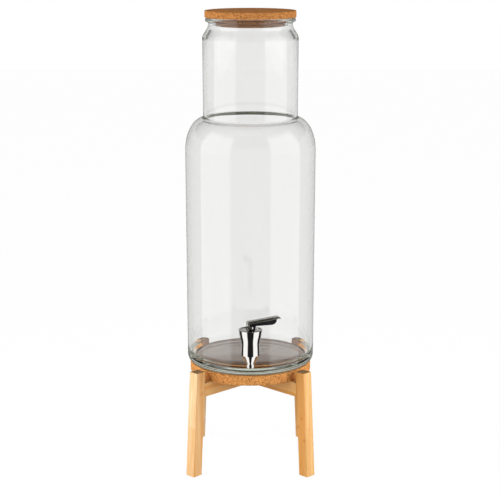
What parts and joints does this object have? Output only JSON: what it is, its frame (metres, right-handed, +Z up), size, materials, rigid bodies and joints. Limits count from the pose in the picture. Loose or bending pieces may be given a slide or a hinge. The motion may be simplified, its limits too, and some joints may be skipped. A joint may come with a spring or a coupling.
{
  "type": "countertop water dispenser",
  "caption": "Tall glass drinks dispenser with a cork lid and a sprung metal tap, standing on a cork mat and a bamboo cross stand.",
  "frame": {"origin": "on the floor under the middle of the whole dispenser; the jar's axis is 20.04 mm behind it, because the tap stands out at the front", "axes": "+Z up, the tap faces -Y, +X to the right seen from the tap side"},
  "size_m": [0.1838, 0.2238, 0.65],
  "materials": {
    "bamboo": "satin lacquered bamboo strips",
    "dowel_wood": "plain beech",
    "cork": "fine-grained pressed cork, sanded",
    "glass": "clear, thick-walled, faint green at the base",
    "polished_steel": "mirror polished",
    "plain_steel": "fine brushed",
    "silicone": "milky, soft sheen",
    "black_plastic": "glossy moulded black"
  },
  "bodies": {
    "stand": {"leg_front_left": "bamboo", "leg_front_right": "bamboo", "leg_back_right": "bamboo", "leg_back_left": "bamboo", "cross_bar_lower": "bamboo", "cross_bar_upper": "bamboo", "dowel_front_left_low": "dowel_wood", "dowel_front_left_high": "dowel_wood", "dowel_front_right_low": "dowel_wood", "dowel_front_right_high": "dowel_wood", "dowel_back_right_low": "dowel_wood", "dowel_back_right_high": "dowel_wood", "dowel_back_left_low": "dowel_wood", "dowel_back_left_high": "dowel_wood", "cork_mat": "cork"},
    "vessel": {"glass_jar": "glass", "tap_body": "polished_steel", "inlet_shank": "plain_steel", "shank_seal": "silicone", "outer_gasket": "silicone", "inner_gasket": "silicone", "clamp_washer": "plain_steel", "lock_nut": "plain_steel", "bonnet": "plain_steel", "bonnet_seal": "silicone", "stem_seal": "silicone", "return_spring": "plain_steel"},
    "lid": {"lid_disc": "cork", "lid_plug": "cork", "lid_seal": "silicone"},
    "plunger": {"spring_seat": "plain_steel", "seat_plug": "silicone"},
    "stem": {"stem": "plain_steel", "pivot_pin": "polished_steel"},
    "lever": {"lever_core": "black_plastic", "lever_cover": "plain_steel"}
  },
  "joints": [
    {"name": "jar_lift", "type": "slide", "parent": "stand", "child": "vessel", "axis": [0, 0, 1], "range_m": [0, 0.06]},
    {"name": "lid_lift", "type": "slide", "parent": "vessel", "child": "lid", "axis": [0, 0, 1], "range_m": [0, 0.06]},
    {"name": "stem_lift", "type": "slide", "parent": "vessel", "child": "plunger", "axis": [0, 0, 1], "range_m": [0, 0.0014], "deforming": ["return_spring"]},
    {"name": "lever_swivel", "type": "hinge", "parent": "plunger", "child": "stem", "pos_m": [0, -0.09534, 0.2279], "axis": [0, 0, 1], "range_deg": [-226, 14]},
    {"name": "lever_press", "type": "hinge", "parent": "stem", "child": "lever", "pos_m": [0, -0.09534, 0.2279], "axis": [-0.2756, 0.9613, 0], "range_deg": [0, 20], "stiffness_Nm_per_rad": 0.024, "springref_deg": -76.2}
  ],
  "couplings": [
    {"joint": "stem_lift", "follows": "lever_press", "m_per_rad": 0.004}
  ]
}
